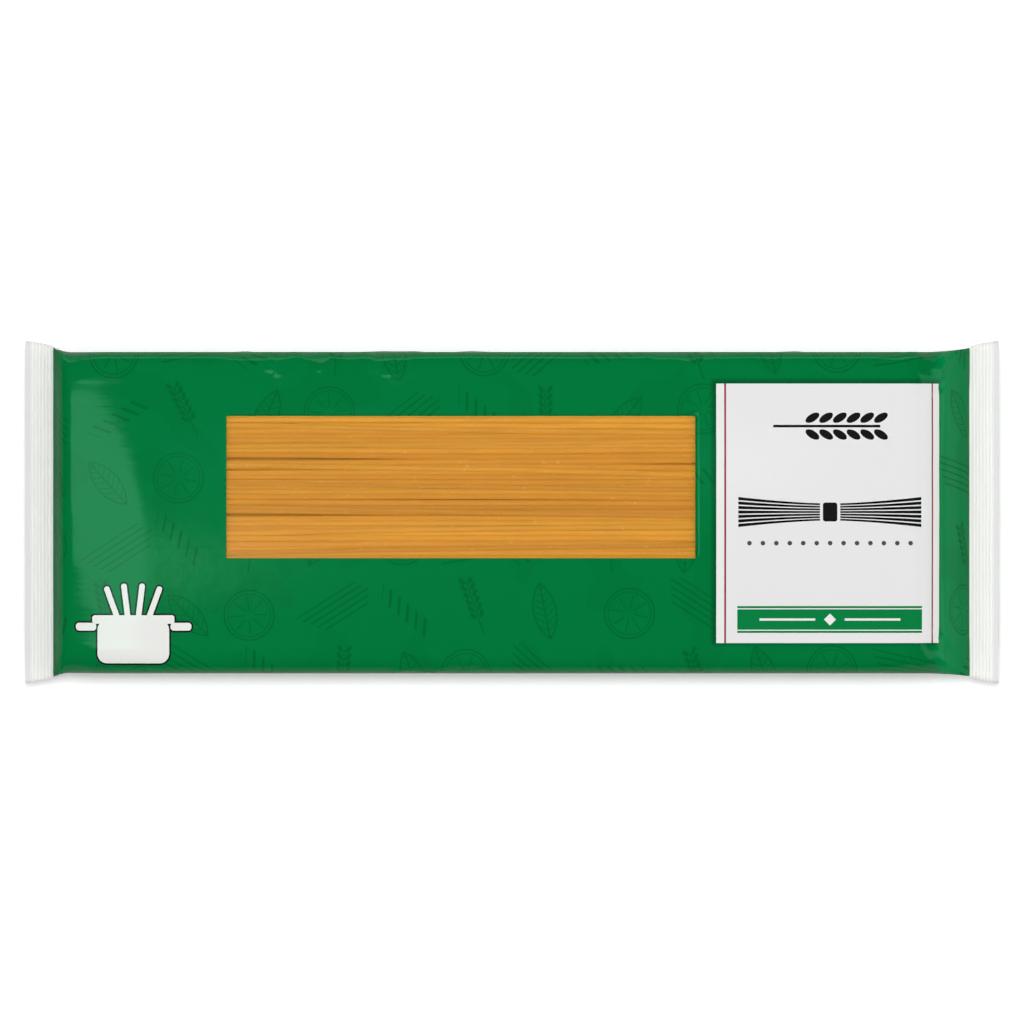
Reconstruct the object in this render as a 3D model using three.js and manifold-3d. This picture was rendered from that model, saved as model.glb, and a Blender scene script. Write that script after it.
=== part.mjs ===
// A one-kilogram pack of spaghetti in a flow-wrapped film bag, lying on its back seam with the window side up.
// Millimetres: +X runs along the strands, +Y across the pack, +Z up. The origin is on the floor under the middle.
import * as THREE from "three";
import { mergeVertices } from "three/addons/utils/BufferGeometryUtils.js";
import Module from "manifold-3d";

// The pack as a whole
const PACK_LENGTH = 299;
const BODY_WIDTH = 98.6;
const BODY_HEIGHT = 35.4;
const CROWN = 2.8;
const CORNER_RADIUS = 8;
const FOLD_RADIUS = 1.2;

// The two crimped end seals and the seam along the back
const SEAL_DEPTH = 9;
const SEAL_WIDTH = 105.2;
const SEAL_ROOT_WIDTH = 100.8;
const SEAL_THICKNESS = 0.8;
const SEAL_HEIGHT = 16.5;
const SEAL_OVERLAP = 1.5;
const RIB_COUNT = 6;
const RIB_PITCH = 1.05;
const RIB_HEIGHT = 0.28;
const RIB_START = 1.2;
const RIB_SAMPLES = 6;
const SEAM_WIDTH = 11;
const SEAM_THICKNESS = 0.4;
const SEAM_OFFSET = 3;
const SEAM_ROOT = 1.2;

// The clear window, and the spaghetti that shows in it
const WINDOW_LENGTH = 143;
const WINDOW_WIDTH = 43.4;
const WINDOW_X = -15.6;
const WINDOW_Y = 7.6;
const POCKET_DEPTH = 9;
const GAP = 0.3;
const STRAND = 1.75;
const STRAND_SIDES = 8;
const STRAND_STEPS = 3;
const FILM_CLEARANCE = 0.12;
const DRIFT = 0.55;
const SINK = 0.35;
const CORE_COVER = 2.0;
const CORE_ROWS = 6;

// How the rings of the body are spread: close together at the ends, far apart in the middle
const RINGS = 36;
const ROWS_ACROSS = 18;
const ROWS_UP = 6;
const RING_EASE = 1.6;
const SEAL_ROOT_X = PACK_LENGTH / 2 - SEAL_DEPTH;
const ringDistance = (k) => SEAL_ROOT_X * (k / (RINGS / 2)) ** RING_EASE;

// Each end as distances inwards from its seal. The film climbs in a curve up to the bend, where it turns over the ends
// of the strands, then gently to the shoulder. The strands lie against the left end, where the film is a nearly
// upright wall (squareness 4). The right end has slack, and the film is rounded like an ellipse there (squareness 2).
const LEFT_END = { bend: ringDistance(2), droop: 0.22, squareness: 4, shoulder: 29, flare: 10 };
const RIGHT_END = { bend: ringDistance(5), droop: 0.1, squareness: 2, shoulder: 40, flare: 16 };
const SHARP_FOLDS = ringDistance(2);
const GUSSET_REACH = 11.2;
const GUSSET_CLOSING = ringDistance(1);
const BELLY_SHOULDER = 0.6;

const { clamp, lerp, smoothstep, seededRandom } = THREE.MathUtils;
const wasm = await Module();
wasm.setup();

function solidOf(geometry) {
  const plain = geometry.clone();
  plain.deleteAttribute("normal");
  plain.deleteAttribute("uv");
  const merged = mergeVertices(plain, 1e-4);
  return new wasm.Manifold(new wasm.Mesh({
    numProp: 3,
    vertProperties: Float32Array.from(merged.attributes.position.array),
    triVerts: Uint32Array.from(merged.index.array),
  }));
}

function geometryOf(solid) {
  const mesh = solid.getMesh();
  const geometry = new THREE.BufferGeometry();
  geometry.setAttribute("position", new THREE.BufferAttribute(mesh.vertProperties, 3));
  geometry.setIndex(new THREE.BufferAttribute(mesh.triVerts, 1));
  geometry.computeVertexNormals();
  return geometry;
}

// Moves every vertex of a geometry to where place(vertex) puts it.
function reshape(geometry, place) {
  const position = geometry.attributes.position;
  const vertex = new THREE.Vector3();
  for (let i = 0; i < position.count; i += 1) {
    place(vertex.fromBufferAttribute(position, i));
    position.setXYZ(i, vertex.x, vertex.y, vertex.z);
  }
  return geometry;
}

// The end that x belongs to, and how far x lies inwards from that end's seal.
const endAt = (x) => (x < 0 ? LEFT_END : RIGHT_END);
const inwards = (x) => Math.max(SEAL_ROOT_X - Math.abs(x), 0);

// 0 at the seal and 1 from the shoulder on: a curved wall up to the bend, under a top that droops towards the end.
function rise(distance, end, shoulder) {
  const before = 1 - clamp(distance / end.bend, 0, 1);
  const left = 1 - clamp(distance / shoulder, 0, 1);
  const wall = (1 - before ** end.squareness) ** (1 / end.squareness);
  return wall * (1 - end.droop * left ** 2);
}

function topHeight(x) {
  const start = SEAL_HEIGHT + SEAL_THICKNESS / 2;
  const full = SEAM_THICKNESS + BODY_HEIGHT;
  return lerp(start, full, rise(inwards(x), endAt(x), endAt(x).shoulder));
}

function bottomHeight(x) {
  const start = SEAL_HEIGHT - SEAL_THICKNESS / 2;
  return lerp(start, SEAM_THICKNESS, rise(inwards(x), endAt(x), BELLY_SHOULDER * endAt(x).shoulder));
}

function halfWidth(x) {
  const flare = clamp(1 - inwards(x) / endAt(x).flare, 0, 1) ** 2;
  return lerp(BODY_WIDTH, SEAL_ROOT_WIDTH, flare) / 2;
}

// The film's top at a place over the strands.
const crown = (x, y) => CROWN * rise(inwards(x), endAt(x), endAt(x).shoulder) * (1 - (y / halfWidth(x)) ** 2);
const filmTop = (x, y) => topHeight(x) + crown(x, y);

// How far the side wall is folded in between the upper and lower flap: what it doesn't need for its height.
function gussetDepth(x) {
  const half = (topHeight(x) - bottomHeight(x)) / 2;
  const spare = Math.sqrt(Math.max(GUSSET_REACH ** 2 - half ** 2, 0));
  return spare * smoothstep(inwards(x), 0, GUSSET_CLOSING);
}

// The filled bag without its seals: a block whose rings take the section of the bag at their place.
function bodySolid() {
  const block = new THREE.BoxGeometry(2, 2, 2, RINGS, ROWS_ACROSS, ROWS_UP);
  return solidOf(reshape(block, (vertex) => {
    const x = Math.sign(vertex.x) * (SEAL_ROOT_X - ringDistance((RINGS / 2) * (1 - Math.abs(vertex.x))));
    const across = Math.sin((vertex.y * Math.PI) / 2);
    const up = Math.sin((vertex.z * Math.PI) / 2);
    const top = topHeight(x);
    const bottom = bottomHeight(x);
    const width = halfWidth(x);
    const height = (top - bottom) / 2;
    const softness = smoothstep(inwards(x), 0, SHARP_FOLDS);
    const radius = Math.min(lerp(FOLD_RADIUS, CORNER_RADIUS, softness), 0.8 * height);
    // Round the corner: the nearest point of the inner block, and one radius out from there
    const innerY = clamp(across * width, radius - width, width - radius);
    const innerZ = clamp(up * height, radius - height, height - radius);
    const outY = across * width - innerY;
    const outZ = up * height - innerZ;
    const reach = radius / Math.max(Math.hypot(outY, outZ), 1e-9);
    const onSide = Math.abs(vertex.y) > 1 - 1e-9;
    const fold = onSide ? gussetDepth(x) * (1 - Math.abs(up)) : 0;
    const y = innerY + outY * reach - Math.sign(vertex.y) * fold;
    const dome = crown(x, y) * ((up + 1) / 2);
    vertex.set(x, y, (top + bottom) / 2 + innerZ + outZ * reach + dome);
  }));
}

// One crimped seal on the +X side (side = 1) or the -X side (side = -1): a thin sheet with ribs across the pack.
function sealSolid(side) {
  const ribs = (distance) => {
    const along = clamp((distance - RIB_START) / RIB_PITCH, 0, RIB_COUNT);
    return RIB_HEIGHT * Math.sin(along * 2 * Math.PI);
  };
  const samples = RIB_COUNT * RIB_SAMPLES;
  const stations = [-SEAL_OVERLAP, 0];
  for (let i = 0; i <= samples; i += 1) stations.push(RIB_START + (i / RIB_SAMPLES) * RIB_PITCH);
  stations.push(SEAL_DEPTH);
  const upper = stations.map((d) => new THREE.Vector2(d, SEAL_THICKNESS / 2 + ribs(d)));
  const lower = stations.map((d) => new THREE.Vector2(d, ribs(d) - SEAL_THICKNESS / 2));
  const outline = new THREE.Shape([...lower, ...upper.reverse()]);
  const sheet = new THREE.ExtrudeGeometry(outline, { depth: 2, bevelEnabled: false, steps: 1 });
  // The outline is drawn in X and Z and pushed along Y
  sheet.rotateX(Math.PI / 2).translate(0, 1, 0);
  reshape(sheet, (vertex) => {
    const spread = Math.sqrt(clamp(vertex.x / SEAL_DEPTH, 0, 1));
    vertex.y *= lerp(SEAL_ROOT_WIDTH, SEAL_WIDTH, spread) / 2;
    vertex.x += SEAL_ROOT_X;
    vertex.z += SEAL_HEIGHT;
  });
  // Turning half round the Z axis makes the other end's seal without turning it inside out
  if (side < 0) sheet.rotateZ(Math.PI);
  return solidOf(sheet);
}

// The seam along the back: both edges of the film sealed together and folded flat to one side.
function seamSolid() {
  const strip = new THREE.BoxGeometry(2, SEAM_WIDTH, 2, RINGS, 1, 1);
  return solidOf(reshape(strip, (vertex) => {
    const x = Math.sign(vertex.x) * (SEAL_ROOT_X - ringDistance((RINGS / 2) * (1 - Math.abs(vertex.x))));
    const level = vertex.z > 0 ? SEAM_ROOT : -SEAM_THICKNESS;
    vertex.set(x, vertex.y + SEAM_OFFSET, bottomHeight(x) + level * smoothstep(inwards(x), -2, 2));
  }));
}

// The space behind the window, made smaller by gap on every side.
function windowBlock(gap) {
  const ceiling = filmTop(WINDOW_X, 0) + CROWN;
  const floor = filmTop(WINDOW_X, 0) - POCKET_DEPTH + gap;
  const block = new THREE.BoxGeometry(WINDOW_LENGTH - 2 * gap, WINDOW_WIDTH - 2 * gap, ceiling - floor);
  block.translate(WINDOW_X, WINDOW_Y, (ceiling + floor) / 2);
  return solidOf(block);
}

// One strand from x0 to x1 whose ends lie at y0 and y1, just under the film and sunk by a little more.
function strandSolid(y0, y1, sink) {
  const reach = WINDOW_LENGTH / 2 + STRAND;
  const point = (along, y) => {
    const x = WINDOW_X + along * reach;
    return new THREE.Vector3(x, y, filmTop(x, y) - FILM_CLEARANCE - STRAND / 2 - sink);
  };
  const route = new THREE.QuadraticBezierCurve3(point(-1, y0), point(0, (y0 + y1) / 2), point(1, y1));
  const section = new THREE.Shape();
  section.absarc(0, 0, STRAND / 2, 0, 2 * Math.PI);
  const options = { steps: STRAND_STEPS, curveSegments: STRAND_SIDES, extrudePath: route };
  return solidOf(new THREE.ExtrudeGeometry(section, options));
}

// The strands behind the window: two layers of them, side by side, fused to the block of strands below.
function spaghettiSolid() {
  const pieces = [];
  const count = Math.ceil(WINDOW_WIDTH / STRAND);
  for (let layer = 0; layer < 2; layer += 1) {
    for (let i = -1; i <= count; i += 1) {
      const y = WINDOW_Y + (i - (count - 1) / 2 + layer / 2) * STRAND;
      const drift = () => DRIFT * (seededRandom() - 0.5) * 2;
      const sink = SINK * seededRandom() + layer * STRAND * Math.sin(Math.PI / 3);
      pieces.push(strandSolid(y + drift(), y + drift(), sink));
    }
  }
  return wasm.Manifold.union([...pieces, coreSolid()]).intersect(windowBlock(GAP));
}

// The tightly packed strands under those that show, as one block with a domed top.
function coreSolid() {
  const block = new THREE.BoxGeometry(WINDOW_LENGTH + STRAND, WINDOW_WIDTH + STRAND, 2, 1, CORE_ROWS, 1);
  return solidOf(reshape(block, (vertex) => {
    const x = WINDOW_X + vertex.x;
    const y = WINDOW_Y + vertex.y;
    const depth = vertex.z > 0 ? CORE_COVER : POCKET_DEPTH + CROWN;
    vertex.set(x, y, filmTop(x, y) - depth);
  }));
}

// The film bag: body, end seals and back seam are one piece, cut away behind the window.
function wrapperSolid() {
  const whole = wasm.Manifold.union([bodySolid(), sealSolid(1), sealSolid(-1), seamSolid()]);
  return whole.subtract(windowBlock(0));
}

function part(name, solid, colour, roughness) {
  const material = new THREE.MeshStandardMaterial({ color: colour, roughness, metalness: 0 });
  const mesh = new THREE.Mesh(geometryOf(solid), material);
  mesh.name = name;
  return mesh;
}

const SEED = 7;
seededRandom(SEED);
const pack = new THREE.Group();
pack.add(part("wrapper", wrapperSolid(), "#09753d", 0.32));
pack.add(part("spaghetti", spaghettiSolid(), "#d19035", 0.55));

export default pack;
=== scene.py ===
# %% [markdown]
# # A pack of spaghetti in printed film
# A flow-wrapping machine folds one long printed film round a block of pasta, seals its edges together
# along the back, and crimps and cuts it between one pack and the next. This lesson makes the pack in the
# same order: the film is drawn flat, printed flat, wrapped, and then sealed. Sizes are in millimetres and
# become metres at the very end.

# %% Load the frame
import bisect
import functools
import math
import random

import bmesh
import bpy
from mathutils import Matrix, Vector, noise


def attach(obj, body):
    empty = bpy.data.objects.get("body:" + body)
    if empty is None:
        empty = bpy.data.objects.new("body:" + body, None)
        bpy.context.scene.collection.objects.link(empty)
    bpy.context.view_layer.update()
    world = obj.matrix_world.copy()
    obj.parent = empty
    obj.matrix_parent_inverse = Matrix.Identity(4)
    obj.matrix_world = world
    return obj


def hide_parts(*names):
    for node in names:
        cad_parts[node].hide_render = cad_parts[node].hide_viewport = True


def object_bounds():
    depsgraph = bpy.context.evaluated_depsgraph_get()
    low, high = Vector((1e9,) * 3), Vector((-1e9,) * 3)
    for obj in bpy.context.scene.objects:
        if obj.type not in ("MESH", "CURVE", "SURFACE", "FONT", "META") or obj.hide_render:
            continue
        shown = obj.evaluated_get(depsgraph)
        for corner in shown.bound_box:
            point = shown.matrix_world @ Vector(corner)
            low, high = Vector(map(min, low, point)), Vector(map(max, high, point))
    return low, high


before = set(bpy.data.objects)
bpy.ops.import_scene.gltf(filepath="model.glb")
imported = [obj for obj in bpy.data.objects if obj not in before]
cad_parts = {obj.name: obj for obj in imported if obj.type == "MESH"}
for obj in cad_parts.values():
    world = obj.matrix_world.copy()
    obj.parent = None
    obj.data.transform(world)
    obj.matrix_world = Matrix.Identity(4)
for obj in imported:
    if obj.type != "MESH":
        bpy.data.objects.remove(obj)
cad_low, cad_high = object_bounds()
MM = 0.001
print("CAD box in mm:", [round(c / MM, 1) for c in (*cad_low, *cad_high)])

# %% [markdown]
# ## Sizes of the bag
# The length and width come from the frame. The end seals are wider than the bag, because they are the
# film tube pressed flat, and each side of the tube is tucked in between its upper and lower flap.

# %% Sizes of the bag
pack_length = (cad_high.x - cad_low.x) / MM
seal_width = (cad_high.y - cad_low.y) / MM
SEAL_DEPTH = 9.0
SEAL_Z = 16.5
SEAL_PLIES = 0.35
SEAM_THICKNESS = 0.4
BODY_WIDTH = 98.6
BODY_TOP = 35.8
CROWN = 2.8
CORNER_RADIUS = 8.0
FOLD_RADIUS = 1.2
SEAL_ROOT_WIDTH = 100.8
BELLY_SHOULDER = 0.6
root_x = pack_length / 2 - SEAL_DEPTH
print("the seals start", round(root_x, 2), "mm from the middle, and are", round(seal_width, 1), "mm wide")

# %% [markdown]
# ## The profile along the pack
# The strands lie against the left end, so the film stands nearly upright there and turns over their ends.
# At the right end there is slack, and the film comes down to its seal in a wider curve. Both ends are the
# same function with other numbers: a squareness of 2 is a quarter of an ellipse, a higher one bulges
# towards a square corner, and a lower one flattens towards a straight slope. The top droops a little
# towards both ends, and the wall bulges out over the seal.

# %% Profile along the pack
LEFT_END = {
    "bend": 6.0,
    "squareness": 2.8,
    "droop": 0.22,
    "shoulder": 29.0,
    "flare": 5.0,
    "fold": 5.0,
    "bulge": 0.3,
}
RIGHT_END = {
    "bend": 18.1,
    "squareness": 1.6,
    "droop": 0.1,
    "shoulder": 40.0,
    "flare": 15.0,
    "fold": 15.0,
    "bulge": 0.2,
}


def clamp(value, low=0.0, high=1.0):
    return min(max(value, low), high)


def mix(a, b, share):
    return a + (b - a) * share


def smooth(low, high, value):
    share = clamp((value - low) / (high - low))
    return share * share * (3 - 2 * share)


def end_at(x):
    return LEFT_END if x < 0 else RIGHT_END


def inwards(x):
    """How far a place lies inwards from the nearer seal."""
    return max(root_x - abs(x), 0.0)


@functools.cache
def rise(x, share=1.0):
    """0 at the seal and 1 at the full height. A share below 1 shortens the droop."""
    end = end_at(x)
    before = 1 - clamp(inwards(x) / end["bend"])
    left = 1 - clamp(inwards(x) / (share * end["shoulder"]))
    wall = (1 - before ** end["squareness"]) ** (1 / end["squareness"])
    return wall * (1 - end["droop"] * left**2)


def top_height(x):
    return mix(SEAL_Z + SEAL_PLIES / 2, BODY_TOP, rise(x))


def bottom_height(x):
    return mix(SEAL_Z - SEAL_PLIES / 2, SEAM_THICKNESS, rise(x, BELLY_SHOULDER))


def half_width(x):
    flare = clamp(1 - inwards(x) / end_at(x)["flare"]) ** 2
    return mix(BODY_WIDTH, SEAL_ROOT_WIDTH, flare) / 2


def film_top(x, y):
    """Height of the film over the strands."""
    return top_height(x) + CROWN * rise(x) * (1 - (y / half_width(x)) ** 2)


# %% [markdown]
# ## How far along the film a place is
# The print is flat on the film, and the film climbs at the ends, so the print is measured along the film
# and not along the floor. A table of the climbed length turns one into the other, by looking up between
# its lines. The lines are eased: far apart in the middle, and very close together at the ends, where the
# film climbs.

# %% Lengths along the film
HALF_STATIONS = 600


def eased(share, ease):
    """From -1 to 1, in steps that get finer towards both ends."""
    return math.copysign(1 - (1 - abs(share)) ** ease, share)


stations = [root_x * eased(k / HALF_STATIONS, 3) for k in range(-HALF_STATIONS, HALF_STATIONS + 1)]
lengths = [0.0]
for before, here in zip(stations, stations[1:]):
    climb = film_top(here, 0) - film_top(before, 0)
    lengths.append(lengths[-1] + math.hypot(here - before, climb))
lengths = [length - lengths[HALF_STATIONS] for length in lengths]


def look_up(value, known, wanted):
    """Reads the list wanted at the place where the rising list known has this value."""
    i = int(clamp(bisect.bisect(known, value), 1, len(known) - 1))
    share = (value - known[i - 1]) / (known[i] - known[i - 1])
    return mix(wanted[i - 1], wanted[i], share)


def along_film(x):
    return look_up(x, stations, lengths)


print("the film is", round(lengths[-1] - lengths[0], 1), "mm long between the seals")

# %% [markdown]
# ## The section round the pack
# Every section uses the same length of film, because film doesn't stretch. Where the bag gets lower,
# towards a seal, the film that the side wall no longer needs folds inwards as a V. The function goes from
# the middle of the top, round the corner, down the side wall and back to the seam, and says where the
# film is after that length.

# %% Section round the pack


@functools.cache
def straight_part(x):
    """Half width, corner radius and half the straight side wall of the section at x."""
    width = half_width(x)
    height = top_height(x) - bottom_height(x)
    softness = smooth(0, end_at(x)["fold"], inwards(x))
    radius = min(mix(FOLD_RADIUS, CORNER_RADIUS, softness), 0.4 * height)
    return width, radius, height / 2 - radius


def half_girth_of(width, radius, side):
    return 2 * (width - radius) + math.pi * radius + 2 * side


half_girth = half_girth_of(*straight_part(0.0))
print("the film tube is", round(2 * half_girth, 1), "mm round")


@functools.cache
def fold_lines(x):
    """Lengths round the tube where the section changes: top, corner, wall, wall, corner, underside."""
    width, radius, _ = straight_part(x)
    flat = width - radius
    corner = math.pi / 2 * radius
    wall = half_girth / 2 - flat - corner
    steps = [0.0, flat, corner, wall, wall, corner, flat]
    return [sum(steps[: k + 1]) for k in range(len(steps))]


def section(x, along):
    """Where the film is, across and up, at a length round the tube from the middle of the top."""
    width, radius, side = straight_part(x)
    top, bottom = top_height(x), bottom_height(x)
    _, flat, upper, middle, lower, under, seam = fold_lines(x)
    wall = middle - upper
    fold = math.sqrt(max(wall**2 - side**2, 0))
    sharp = 1 - smooth(0, 14, inwards(x))
    length = abs(along)
    if length < flat:
        y, z = length, top
    elif length < upper:
        angle = (length - flat) / radius
        y, z = flat + radius * math.sin(angle), top - radius + radius * math.cos(angle)
    elif length < lower:
        down = (length - middle) / wall
        tuck = mix(math.cos(down * math.pi / 2) ** 2, 1 - abs(down), sharp)
        y, z = width - fold * tuck, mix(top - radius, bottom + radius, (down + 1) / 2)
    elif length < under:
        angle = (length - lower) / radius
        y, z = flat + radius * math.cos(angle), bottom + radius - radius * math.sin(angle)
    else:
        y, z = max(seam - length, 0), bottom
    z += CROWN * rise(x) * (1 - (y / width) ** 2) * (z - bottom) / (top - bottom)
    return math.copysign(y, along), z


# %% [markdown]
# ## Slack in the film
# Film over a hard block is smooth on top, and loose at the sides and ends. The slack is noise pushed
# along the surface's own direction: dents in the side walls, a squarer shoulder along the long edges with
# crumpled stretches in it, low pleats that run away from each seal, and a crease from each corner of the
# seals up to the top. The crumpled stretches are listed with their side and where they start and end
# along the pack, and the other pairs of numbers are lengths round the tube between which a form lies.
# Noise from mathutils gives the same number each time, so every run makes the same pack.

# %% Slack in the film
CRUMPLED = [
    (1, -82.0, -34.0),
    (1, 46.0, 60.0),
    (1, 118.0, 128.0),
    (-1, -34.0, -14.0),
    (-1, 120.0, 131.0),
]
LONG_EDGE = (43, 48)
SHOULDER = 47.6
SIDE_WALL = (62, 68)
FAR_WALL = (52, 66)
UNDERSIDE = (92, 112)


def wander(x, y, seed):
    """Smooth noise from -1 to 1."""
    return noise.noise(Vector((x, y, seed)))


def crease(x, y, seed):
    """0 nearly everywhere, and 1 along thin wandering lines."""
    return (1 - abs(wander(x, y, seed))) ** 8


def band(low, high, blur, value):
    """1 between low and high, and fading to 0 on both sides of them."""
    return smooth(low - blur, low, value) * (1 - smooth(high, high + blur, value))


def crumpled(x, along):
    """1 in the crumpled stretches of the long edges."""
    return max(band(start, end, 8, x) for side, start, end in CRUMPLED if side * along >= 0)


def slack(x, along):
    """How far the film stands off its smooth shape."""
    reach = abs(along)
    distance = inwards(x)
    wall = band(*SIDE_WALL, 6, reach)
    edge = band(*LONG_EDGE, 4, reach) * mix(0.1, 1.0, crumpled(x, along))
    near_seal = (1 - smooth(0, 0.7 * end_at(x)["shoulder"], distance)) * (1 - smooth(60, 80, reach))
    dents = -1.4 * wall * max(wander(x / 26, along / 12, 4.5), 0)
    folds = 0.4 * wall * (crease(x / 30 + along / 40, along / 22, 8.5) - 0.3)
    crumples = edge * (crease(x / 9 + along / 12, along / 8, 12.5) - 0.5)
    pleats = 0.12 * near_seal * wander(along / 7, distance / 26, math.copysign(16.5, x))
    sags = 0.22 * band(*UNDERSIDE, 8, reach) * wander(x / 30, along / 14, 3.5)
    shoulder = math.exp(-(((reach - SHOULDER) / 4) ** 2)) * smooth(4, 16, distance)
    tight_wall = -0.4 * band(*FAR_WALL, 4, along)
    beside = (fold_lines(x)[1] + fold_lines(x)[2]) / 2 - reach - distance
    beside_fold = band(2, 0.7 * end_at(x)["fold"], 2, distance)
    corner_crease = -0.4 * math.exp(-((beside / 1.1) ** 2)) * beside_fold
    height = dents + folds + crumples + pleats + sags + shoulder + tight_wall + corner_crease
    return height * smooth(0, 2, distance)


# %% [markdown]
# ## The flat film
# The film starts as a flat grid, as wide as the tube is round. Its columns are closer together near the
# ends, where the wrapped film bends most, and its rows follow the lines where it will fold, so that every
# fold gets a row of its own and stays crisp. Four cuts with bisect_plane put edges exactly on the outline
# of the clear window, and the flat coordinates become the UV map that the print is drawn in, in
# millimetres.

# %% Draw the flat film
WINDOW_LENGTH = 143.0
WINDOW_WIDTH = 43.4
WINDOW_X = -15.6
WINDOW_Y = 7.6
COLUMNS = 268
ROWS = 172
ROW_SHARES = [0.0, 0.3, 0.41, 0.51, 0.61, 0.7, 1.0]

film = bmesh.new()
bmesh.ops.create_grid(film, x_segments=COLUMNS, y_segments=ROWS, size=1.0)
for vert in film.verts:
    u = eased(vert.co.x, 1.8) * (lengths[-1] if vert.co.x > 0 else -lengths[0])
    x = look_up(u, lengths, stations)
    v = math.copysign(look_up(abs(vert.co.y), ROW_SHARES, fold_lines(x)), vert.co.y)
    vert.co = (u, v, 0)
window_u = [along_film(WINDOW_X - WINDOW_LENGTH / 2), along_film(WINDOW_X + WINDOW_LENGTH / 2)]
window_v = [WINDOW_Y - WINDOW_WIDTH / 2, WINDOW_Y + WINDOW_WIDTH / 2]
cuts = [((u, 0, 0), (1, 0, 0)) for u in window_u] + [((0, v, 0), (0, 1, 0)) for v in window_v]
for place, direction in cuts:
    everything = film.verts[:] + film.edges[:] + film.faces[:]
    bmesh.ops.bisect_plane(film, geom=everything, dist=1e-4, plane_co=place, plane_no=direction)
flat_map = film.loops.layers.uv.new("print")
for face in film.faces:
    for loop in face.loops:
        loop[flat_map].uv = loop.vert.co.xy
print("flat film with", len(film.faces), "faces")

# %% [markdown]
# ## Wrap the film
# Each vertex of the flat film goes to where the section function puts it, and a little further out in the
# first stretch after a seal, where the strand ends push. Then the long edges meet under the pack and are
# merged, and the slack is added along the normals, which only exist once the film has its form.

# %% Wrap the film
BULGE_LENGTH = 15.0
flat_place = {}
for vert in film.verts:
    x = look_up(vert.co.x, lengths, stations)
    flat_place[vert] = (x, vert.co.y)
    y, z = section(x, vert.co.y)
    from_seal = min(vert.co.x - lengths[0], lengths[-1] - vert.co.x)
    bulge = end_at(x)["bulge"] * math.sin(math.pi * clamp(from_seal / BULGE_LENGTH))
    vert.co = (x + math.copysign(bulge, x), y, z)
film.normal_update()
if sum(vert.normal.z for vert in film.verts if vert.co.z > BODY_TOP) < 0:
    bmesh.ops.reverse_faces(film, faces=film.faces[:])
    film.normal_update()
for vert, (x, along) in flat_place.items():
    vert.co += vert.normal * slack(x, along)
edge_verts = [vert for vert in film.verts if vert.is_boundary]
bmesh.ops.remove_doubles(film, verts=edge_verts, dist=0.02)
print("wrapped film with", len(film.verts), "vertices")

# %% [markdown]
# ## From bmesh to a piece
# One helper writes a bmesh into a mesh object, in metres, smooth shaded, with its material. A thin
# Solidify gives film its thickness, which also closes its edges.

# %% From bmesh to a piece
PACK_BODY = "root"


def piece_from(bm, name, finish, node, thickness=0.0):
    bmesh.ops.scale(bm, vec=(MM, MM, MM), verts=bm.verts)
    mesh = bpy.data.meshes.new(name)
    bm.to_mesh(mesh)
    bm.free()
    mesh.polygons.foreach_set("use_smooth", [True] * len(mesh.polygons))
    mesh.materials.append(finish)
    piece = bpy.data.objects.new(name, mesh)
    bpy.context.scene.collection.objects.link(piece)
    if thickness:
        wall = piece.modifiers.new("Solidify", "SOLIDIFY")
        wall.thickness = thickness * MM
        wall.offset = -1
    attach(piece, PACK_BODY)
    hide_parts(node)
    print(name, "has", len(mesh.polygons), "faces")
    return piece


# %% [markdown]
# ## Nodes and colours
# Two helpers serve every material. One turns a hex colour from sRGB to the linear values that Blender
# shades with. The other adds one node, sets it, and links or fills its inputs.

# %% Nodes and colours


def linear(code):
    """An sRGB hex colour as linear red, green, blue and alpha."""
    parts = [int(code[i : i + 2], 16) / 255 for i in (1, 3, 5)]
    return [c / 12.92 if c <= 0.04045 else ((c + 0.055) / 1.055) ** 2.4 for c in parts] + [1.0]


def add(tree, kind, inputs=(), out=0, **settings):
    """Adds a node, sets it, links or fills its inputs in order or by name, and returns one output."""
    made = tree.nodes.new("ShaderNode" + kind)
    for name, value in settings.items():
        setattr(made, name, value)
    named = inputs.items() if isinstance(inputs, dict) else enumerate(inputs)
    for socket, value in named:
        if isinstance(value, bpy.types.NodeSocket):
            tree.links.new(value, made.inputs[socket])
        elif value is not None:
            made.inputs[socket].default_value = value
    return made.outputs[out]


def new_material(name, roughness, ior=1.5):
    """A material with its Principled shader, and that shader's constants."""
    finish = bpy.data.materials.new(name)
    finish.use_nodes = True
    shader = finish.node_tree.nodes["Principled BSDF"]
    shader.inputs["Roughness"].default_value = roughness
    shader.inputs["IOR"].default_value = ior
    return finish, finish.node_tree, shader


# %% [markdown]
# ## Shapes in ink
# Print is flat colour inside an outline, so each shape is a mask: 1 inside and 0 outside. A box with
# round corners is the one shape that most of the print is built of. Its distance is negative inside, so
# the same number also gives an outline of any width.

# %% Shapes in ink


def box_distance(tree, place, centre, half, radius=0.0, angle=0.0):
    """Distance in mm from a box with round corners, drawn round a centre and turned by an angle."""
    near = add(tree, "VectorMath", [place, (*centre, 0)], operation="SUBTRACT")
    if angle:
        near = add(tree, "VectorRotate", {"Vector": near, "Angle": angle}, rotation_type="Z_AXIS")
    near = add(tree, "VectorMath", [near, (1, 1, 0)], operation="MULTIPLY")
    near = add(tree, "VectorMath", [near], operation="ABSOLUTE")
    inner = (half[0] - radius, half[1] - radius, 0)
    beyond = add(tree, "VectorMath", [near, inner], operation="SUBTRACT")
    outside = add(tree, "VectorMath", [beyond, (0, 0, 0)], operation="MAXIMUM")
    reach = add(tree, "VectorMath", [outside], out="Value", operation="LENGTH")
    return add(tree, "Math", [reach, radius], operation="SUBTRACT")


def inside(tree, distance, edge=0.001):
    """1 where the distance is below the edge."""
    return add(tree, "Math", [distance, edge], operation="LESS_THAN")


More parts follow.
